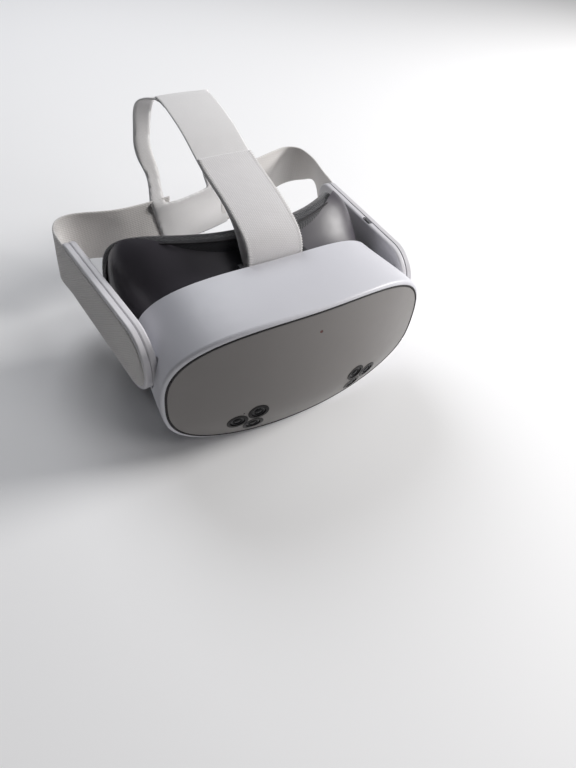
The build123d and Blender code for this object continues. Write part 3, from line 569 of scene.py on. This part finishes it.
def rear_outline():
    """Pattern outline of the rear strap and of the gap between its branches, as (x, rise)."""
    crown = BAND_RISE + BRANCH_RISE
    right_outer = [(-36.0, 39.0), (-32.2, 48.5), (-30.4, 58), (-31.4, 67), (-31.6, 77), (-30, 87),
                   (-29.4, 101), (-26.5, 111), (-19.5, 119), (-18, crown)]
    left_outer = [(31, 39.6), (27.6, 47), (26.6, 57), (28, 75), (29, 91), (27.0, 103), (22.0, 112.5),
                  (17.6, 119), (17, crown)]
    low = [(-25.5, 0.6), (-8, -0.6), (10, -1.8), (24, -2.6), (34, -3.2)]
    left_end = [(34, -3.0), (34.6, 18), (34, 39.0)]
    right_end = [(-35.9, 38.6), (-31.5, 20), (-26, 1.2)]
    outline = rounded_line(low, 30) + rounded_line(left_end, 20)[1:-1] + [(33.6, 39.3)]
    outline += rounded_line(left_outer, 60) + rounded_line(right_outer, 60)[::-1]
    outline += rounded_line(right_end, 20)[:-1]
    gap_bottom = [(-24.0, 37.0), (-19, 36.4), (-10.5, 36.0), (1, 36.6), (7, 36.9), (11.0, 37.3)]
    gap_arch = [(11.8, 38.2), (12.9, 50), (14.5, 62), (16, 75), (17, 91), (16.5, 104), (13, 113), (7, 116.8),
                (0, 117.8), (-7, 116.8), (-12, 112), (-15.2, 103), (-17, 86), (-19.0, 76), (-19.3, 66),
                (-20, 57), (-22.6, 47.5), (-24.4, 38.0)]
    return outline, rounded_line(gap_bottom, 40) + rounded_line(gap_arch, 120)


def inside(point, loop):
    """Whether a point lies in a closed line of points."""
    x0, y0 = np.array(loop).T
    x1, y1 = np.roll(x0, -1), np.roll(y0, -1)
    crossing = (y0 > point[1]) != (y1 > point[1])
    with np.errstate(divide="ignore", invalid="ignore"):
        reach = x0 + (point[1] - y0) * (x1 - x0) / (y1 - y0)
    return bool(np.sum(crossing & (point[0] < reach)) % 2)


def make_rear_strap(material):
    """Cut sheet laid over the rear surface, then given its thickness with rounded edges."""
    outline, gap = rear_outline()
    spots, edges = [], []
    for loop in (outline, gap):
        start = len(spots)
        spots += loop
        edges += [(start + i, start + (i + 1) % len(loop)) for i in range(len(loop))]
    border = np.array(spots)
    for i, x in enumerate(np.arange(-45, 40, REAR_STEP)):
        for rise in np.arange(-3.5, BAND_RISE + BRANCH_RISE, REAR_STEP):
            spot = np.array([x, rise + (REAR_STEP / 2 if i % 2 else 0)])
            if np.min(np.hypot(*(border - spot).T)) > REAR_CLEAR:
                spots.append(tuple(spot))
    flat, _, faces, _, _, _ = delaunay_2d_cdt([Vector(p) for p in spots], edges, [], 0, 1e-6)
    flat = np.array([tuple(p) for p in flat])
    kept = []
    for face in faces:
        centre = flat[list(face)].mean(0)
        if inside(centre, outline) and not inside(centre, gap):
            kept.append(tuple(face))
    distance = np.array([np.min(np.hypot(*(border - p).T)) for p in flat])
    place = rear_point(flat[:, 0], flat[:, 1])
    nudge = 0.01
    side = rear_point(flat[:, 0] + nudge, flat[:, 1]) - rear_point(flat[:, 0] - nudge, flat[:, 1])
    rise = rear_point(flat[:, 0], flat[:, 1] + nudge) - rear_point(flat[:, 0], flat[:, 1] - nudge)
    normal = np.cross(side, rise)
    normal /= np.linalg.norm(normal, axis=1, keepdims=True)
    wave = 0.35 * np.sin(flat[:, 1] / 7.5 + flat[:, 0] / 11.0) * smoothed(distance / 4)
    place = place + normal * wave[:, None]
    half = REAR_HALF * rim_share(distance, REAR_RIM)
    count = len(flat)
    points = np.concatenate([place + normal * half[:, None], place - normal * half[:, None]])
    faces = kept + [tuple(count + k for k in face[::-1]) for face in kept]
    piece = make_mesh("strap_fabric_rear", points, faces, np.concatenate([flat, flat]), material)
    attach(piece, "arm_right")
    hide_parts("rear_strap")


# ---------------------------------------------------------------- top strap
BAR_BOTTOM = (27.2, 92.85)  # y and z of the strap under the bar that it loops round
TOP_HALF_WIDTH = 18.6
# (y, z) lines of the two layers
MAIN_LINE = [(161, 146.6), (154, 147.0), (145, 146.2), (130, 143.4), (115, 139.3), (100, 133.3),
             (85, 127.8), (70, 124.2), (56.4, 120.3), (48.8, 116.4), (42.3, 111.2), (36.3, 102.6),
             (31.6, 95.8), (29.4, 93.6), BAR_BOTTOM]
TAB_LINE = [BAR_BOTTOM, (25.3, 93.9), (24.8, 96.5), (24.9, 102), (27.4, 108.4), (31.8, 112.9), (38.0, 116.4),
            (47, 120.0), (56, 122.8), (70, 126.3), (84, 129.6), (94.5, 133.0)]
TOP_HALF, TOP_RIM = 0.7, 0.8  # half the thickness, radius of the edges
TOP_CUP = 0.5  # how far the edges curl from flat
# one stitch over the tab's edge: lift over the tab's middle, x from its edge, distance along it
STITCH = ((0.72, -2.2, 0.0), (0.86, -1.1, 0.25), (0.74, -0.15, 0.5), (0.0, 0.32, 0.7), (-0.5, 0.1, 0.85))
STITCH_START, STITCH_PITCH, THREAD_RADIUS = 3.0, 1.7, 0.17


def ribbon(name, side_line, half_width, step, material, outward):
    """Strap across X along a side line (y, z), cupped a little; outward is the side it is convex on."""
    lengths = lengths_along(side_line)
    length = lengths[-1]
    us, vs = graded(length, step, 0.9), graded(2 * half_width, 1.5, 1.0)
    y, z = (np.interp(us, lengths, side_line[:, k]) for k in (0, 1))
    ahead = np.stack([np.gradient(y, us), np.gradient(z, us)], -1)
    ahead /= np.linalg.norm(ahead, axis=1, keepdims=True)
    out = np.stack([np.zeros(len(us)), -ahead[:, 1], ahead[:, 0]], -1)
    x = vs - half_width
    middle = np.empty((len(us), len(vs), 3))
    middle[..., 0] = x[None]
    middle[..., 1], middle[..., 2] = y[:, None], z[:, None]
    cup = -TOP_CUP * outward * (x / half_width) ** 2
    middle += out[:, None] * cup[None, :, None]
    normal = out[:, None] * np.ones((1, len(vs), 1))
    from_edge = np.minimum(vs, 2 * half_width - vs)[None] * np.ones((len(us), 1))
    from_end = np.minimum(us, length - us)[:, None] * np.ones((1, len(vs)))
    half = TOP_HALF * rim_share(from_edge, TOP_RIM) * rim_share(from_end, TOP_RIM)
    return thick_sheet(name, middle, normal, half, us, vs, material)


def make_top_strap(materials):
    """Main layer from the crown round the bar, and the tab that lies over it, sewn at its edges."""
    main_line, _ = spline(MAIN_LINE, 400)
    tab_line, _ = spline(TAB_LINE, 400)
    main = ribbon("strap_fabric_top", main_line, TOP_HALF_WIDTH - 0.05, 0.9, materials["strap_webbing"], -1)
    tab = ribbon("strap_fabric_tab", tab_line, TOP_HALF_WIDTH, 0.9, materials["strap_tab"], 1)
    lengths = lengths_along(tab_line)
    loops = []
    for side in (-1, 1):
        for where in np.arange(STITCH_START, lengths[-1] - 1.5, STITCH_PITCH):
            spots = []
            for lift, x, slide in STITCH:
                before, after = (
                    np.array([np.interp(where + slide + d, lengths, tab_line[:, k]) for k in (0, 1)])
                    for d in (-0.3, 0.3)
                )
                ahead = after - before
                ahead /= np.linalg.norm(ahead)
                cup = -TOP_CUP * ((TOP_HALF_WIDTH + x) / TOP_HALF_WIDTH) ** 2
                y = (before[0] + after[0]) / 2 - ahead[1] * (lift + cup)
                z = (before[1] + after[1]) / 2 + ahead[0] * (lift + cup)
                spots.append((side * (TOP_HALF_WIDTH + x), y, z))
            loops.append(spline(spots, 8)[0])
    stitching = tubes("strap_tab_stitching", loops, THREAD_RADIUS, materials["thread"], sides=5)
    for piece in (main, tab, stitching):
        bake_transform(piece)
    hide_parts("top_strap")


# ---------------------------------------------------------------- face cushion
FACE_Y, FACE_SWEEP = 42.5, 37.0  # interface's rear edge on the centre line, and its sweep at 80 mm
MIDDLE_Z = 50.0
CUSHION_OUTER = (86.4, 56.8, 4.5)  # half width, half height over the middle, squareness
CUSHION_HOLE = (70.0, 41.0, 2.8)
CUSHION_DEPTH = (-1.2, 11.6)  # from where it meets the interface to the face
NOSE_ARCH = (22.2, 38.0)  # half width and height of the arch over the nose
NOSE_BAND = 9.0  # width of the cushion over the nose
ARCH_FOOT = -2.0  # height that the arch springs from
CUSHION_GIRTH = 42.0  # length of cloth once round its section
CUSHION_LIP = 1.6  # how far the inner edge lies in front of the outer one
RING_POINTS, ARCH_POINTS, SECTION_POINTS = 170, 44, 30
PIPING_RADIUS = 0.6
PUFF_FRAMES, PUFF_PRESSURE, PUFF_CAP = 20, 3.0, 1.1  # the cap is the furthest that a point moves


def face_line(x):
    """Y of the interface's rear edge at a distance from the centre plane."""
    return FACE_Y + FACE_SWEEP * np.abs(x / 80.0) ** 2.5


def cushion_ring(oval, arch, drop, floor):
    """Closed line (x, z): round the face opening, and over the nose at the bottom."""
    arch_width, arch_height = arch
    start = -pi / 2 + 0.02
    turns = np.linspace(start, 2 * pi + start, 2000)
    x, z = superellipse(turns, *oval)
    z = MIDDLE_Z + np.where(z < 0, z * drop, z)
    around = np.stack([x, np.maximum(z, floor)], -1)
    clear = (np.abs(around[:, 0]) > arch_width + 2) | (around[:, 1] > MIDDLE_Z)
    around = around[clear]
    bottom = around[0][1]
    lift = np.arcsin(np.clip((bottom - ARCH_FOOT) / arch_height, 0, 1)) + 0.12
    bows = np.linspace(pi - lift, lift, 200)
    over = np.stack([arch_width * np.cos(bows), ARCH_FOOT + arch_height * np.sin(bows)], -1)
    line = np.concatenate([around, over])
    loop = np.concatenate([line, line[:1]])
    lengths = lengths_along(loop)
    parts = []
    bend = lengths[len(around) - 1]
    for first, last, count in ((0, bend, RING_POINTS), (bend, lengths[-1], ARCH_POINTS)):
        steps = np.linspace(first, last, count, endpoint=False)
        parts.append(np.stack([np.interp(steps, lengths, loop[:, k]) for k in (0, 1)], -1))
    ring = np.concatenate(parts)
    for _ in range(10):
        ring = 0.5 * ring + 0.25 * (np.roll(ring, 1, 0) + np.roll(ring, -1, 0))
    return ring


def puff(piece, pinned, pressure, cap):
    """Fills a closed cloth piece with air; pinned points stay, and none moves further than cap."""
    count = len(piece.data.vertices)
    rest = np.zeros(count * 3)
    piece.data.vertices.foreach_get("co", rest)
    group = piece.vertex_groups.new(name="pinned")
    group.add([int(i) for i in np.flatnonzero(pinned)], 1.0, "REPLACE")
    cloth = piece.modifiers.new("cloth", "CLOTH")
    cloth.settings.vertex_group_mass = "pinned"
    cloth.settings.quality = 6
    cloth.settings.mass = 0.2
    cloth.settings.tension_stiffness = cloth.settings.compression_stiffness = 12
    cloth.settings.bending_stiffness = 0.6
    cloth.settings.use_pressure = True
    cloth.settings.uniform_pressure_force = pressure
    cloth.settings.effector_weights.gravity = 0
    cloth.point_cache.frame_start, cloth.point_cache.frame_end = 1, PUFF_FRAMES
    scene = bpy.context.scene
    for step in range(1, PUFF_FRAMES + 1):
        scene.frame_set(step)
    shown = piece.evaluated_get(bpy.context.evaluated_depsgraph_get())
    puffed = np.zeros(count * 3)
    shown.data.vertices.foreach_get("co", puffed)
    move = (puffed - rest).reshape(-1, 3)
    far = np.linalg.norm(move, axis=1, keepdims=True)
    move *= np.minimum(1, cap * MM / np.maximum(far, 1e-9))
    piece.modifiers.remove(cloth)
    piece.vertex_groups.remove(group)
    piece.data.vertices.foreach_set("co", (rest.reshape(-1, 3) + move).ravel())
    piece.data.update()
    scene.frame_set(1)


def subdivide(piece):
    """One level of subdivision, applied."""
    level = piece.modifiers.new("finer", "SUBSURF")
    level.levels = level.render_levels = 1
    shown = piece.evaluated_get(bpy.context.evaluated_depsgraph_get())
    finer = bpy.data.meshes.new_from_object(shown)
    piece.modifiers.clear()
    piece.data = finer


def make_face_cushion(materials):
    """Foam cushion under knit fabric, with piping where it meets the interface."""
    outer = cushion_ring(CUSHION_OUTER, NOSE_ARCH, 0.9, 1.2)
    inner = cushion_ring(CUSHION_HOLE, (NOSE_ARCH[0] + NOSE_BAND, NOSE_ARCH[1] + NOSE_BAND), 1.0, 9.5)
    near, far = CUSHION_DEPTH
    steps = SECTION_POINTS
    section = []
    for k in range(steps):
        turn = 2 * pi * k / steps
        c, s = cos(turn), sin(turn)
        square = 3.0 if s > 0 else 5.0
        across = np.sign(c) * abs(c) ** (2 / square)
        rise = np.sign(s) * abs(s) ** (2 / square)
        section.append((0.5 - 0.5 * across, 0.5 + 0.5 * rise))
    share, deep = np.array(section).T
    count = len(outer)
    flat = outer[:, None] * (1 - share)[None, :, None] + inner[:, None] * share[None, :, None]
    depth = near + (far - near) * deep[None] - CUSHION_LIP * share[None] ** 2 * deep[None]
    y = face_line(flat[..., 0]) + depth
    points = np.stack([flat[..., 0], y, flat[..., 1]], -1)
    faces, uv = [], []
    around = lengths_along(outer)
    for i in range(count):
        for j in range(steps):
            a, b = i * steps, ((i + 1) % count) * steps
            faces.append((a + j, b + j, b + (j + 1) % steps, a + (j + 1) % steps))
            uv.append((around[i], CUSHION_GIRTH * j / steps))
    cushion = make_mesh("face_cushion", points.reshape(-1, 3), faces, uv, materials["pad_fabric"])
    spots = np.zeros(len(cushion.data.vertices) * 3)
    cushion.data.vertices.foreach_get("co", spots)
    spots = spots.reshape(-1, 3) / MM
    pinned = spots[:, 1] - face_line(spots[:, 0]) < near + 0.6
    puff(cushion, pinned, PUFF_PRESSURE, PUFF_CAP)
    subdivide(cushion)
    cushion.data.shade_smooth()
    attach(cushion, "visor")
    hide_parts("face_pad")

    rim_z = MIDDLE_Z + (outer[:, 1] - MIDDLE_Z) * 0.997
    rim = np.stack([outer[:, 0] * 0.997, face_line(outer[:, 0]) + near, rim_z], -1)
    piping = tubes("cushion_piping", [rim], PIPING_RADIUS, materials["gasket_rubber"], closed=True)
    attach(piping, "visor")


# ---------------------------------------------------------------- front plate: camera windows and seam
FRONT_AXIS_Y, FRONT_Y = 226.0, -30.0  # upright axis that the plate curves about, and its foremost line
# distance from the centre plane, and height
CAMERAS = {"tracking_camera": (48.6, 23.9), "colour_camera": (36.1, 29.6), "infrared_light": (37.5, 16.0)}
MICROPHONE = (-45.3, 31.8)  # x and height
SEAM_OVAL = (88.8, 47.1, 2.66)  # half width, half height, squareness
SEAM_DEPTH, SEAM_RADIUS = 0.35, 0.75


def front_y(x, z):
    """Y of the front plate's surface."""
    up = z - MIDDLE_Z
    line = FRONT_Y + 0.0014 * up**2 - 0.016 * up + 0.0058 * max(0.0, -up - 15.0) ** 2
    return FRONT_AXIS_Y - ((FRONT_AXIS_Y - line) ** 2 - x**2) ** 0.5


def turned(name, profile, place, facing, material, sides=48):
    """Piece turned from a (radius, height) profile, its axis along facing."""
    z_axis = Vector(facing).normalized()
    x_axis = z_axis.orthogonal().normalized()
    y_axis = z_axis.cross(x_axis)
    points, faces = [], []
    for radius, height in profile:
        for k in range(sides):
            turn = 2 * pi * k / sides
            spot = Vector(place) + z_axis * height + radius * (cos(turn) * x_axis + sin(turn) * y_axis)
            points.append(tuple(spot))
    for i in range(len(profile) - 1):
        for k in range(sides):
            a, b = i * sides, (i + 1) * sides
            faces.append((a + k, a + (k + 1) % sides, b + (k + 1) % sides, b + k))
    points = np.array(points)
    return make_mesh(name, points, faces, points[:, ::2], material)


# (radius, height) lines that are turned into the windows and the hole
WINDOW_PROFILE = [(0.001, -2.6), (4.6, -2.6), (4.6, -0.42), (4.45, -0.3), (3.5, -0.3), (3.35, -0.42),
                  (3.1, -0.5), (3.0, -0.85), (2.35, -0.95), (2.3, -0.7), (2.0, -0.42), (1.5, -0.2),
                  (0.9, -0.07), (0.4, -0.02), (0.001, 0.0)]
HOLE_PROFILE = [(0.001, 0.06), (0.35, 0.06), (0.5, 0.0), (0.5, -0.4)]


def make_camera_lenses(material):
    """Each camera's flat glass, stepped baffle and small domed lens, and a near-black dot of painted shade
    where the microphone's hole is.
    """
    for name, (x, z) in CAMERAS.items():
        for side, sign in SIDES.items():
            spot = (sign * x, front_y(x, z), z)
            slope_x = sign * (front_y(x + 0.5, z) - front_y(x - 0.5, z))
            slope_z = front_y(x, z + 0.5) - front_y(x, z - 0.5)
            piece = turned(f"{name}_{side}_lens", WINDOW_PROFILE, spot, (slope_x, -1, slope_z), material)
            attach(piece, "visor")
            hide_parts(f"{name}_{side}_window")
    x, z = MICROPHONE
    spot = (x, front_y(x, z), z)
    # painted shade: a near-black plug stands for the dark inside of the microphone's hole, which is not cut
    hole = turned("microphone_hole_painted_shade", HOLE_PROFILE, spot, (0, -1, 0), material, 20)
    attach(hole, "visor")


def make_seam(material):
    """Dark joint round the front plate."""
    across, up = superellipse(np.linspace(0, 2 * pi, 240, endpoint=False), *SEAM_OVAL)
    line = np.array([(x, front_y(x, z) + SEAM_DEPTH, z) for x, z in zip(across, MIDDLE_Z + up)])
    seam = tubes("seam_line", [line], SEAM_RADIUS, material, closed=True)
    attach(seam, "visor")


# ---------------------------------------------------------------- everything
def dress_frame(materials):
    """Gives each carried-over CAD node the finish of its slot in the record."""
    for part in frame["record"]["subparts"]:
        node = nodes[part["node"]]
        node.data.materials.clear()
        node.data.materials.append(materials[part["material_slot"]])


make_camera()
make_light()
make_floor()
materials = make_materials()
dress_frame(materials)
for side in SIDES:
    make_arm_strap(side, materials["panel_fabric"])
make_rear_strap(materials["strap_webbing"])
make_top_strap(materials)
make_face_cushion(materials)
make_camera_lenses(materials["camera_glass"])
make_seam(materials["gasket_rubber"])
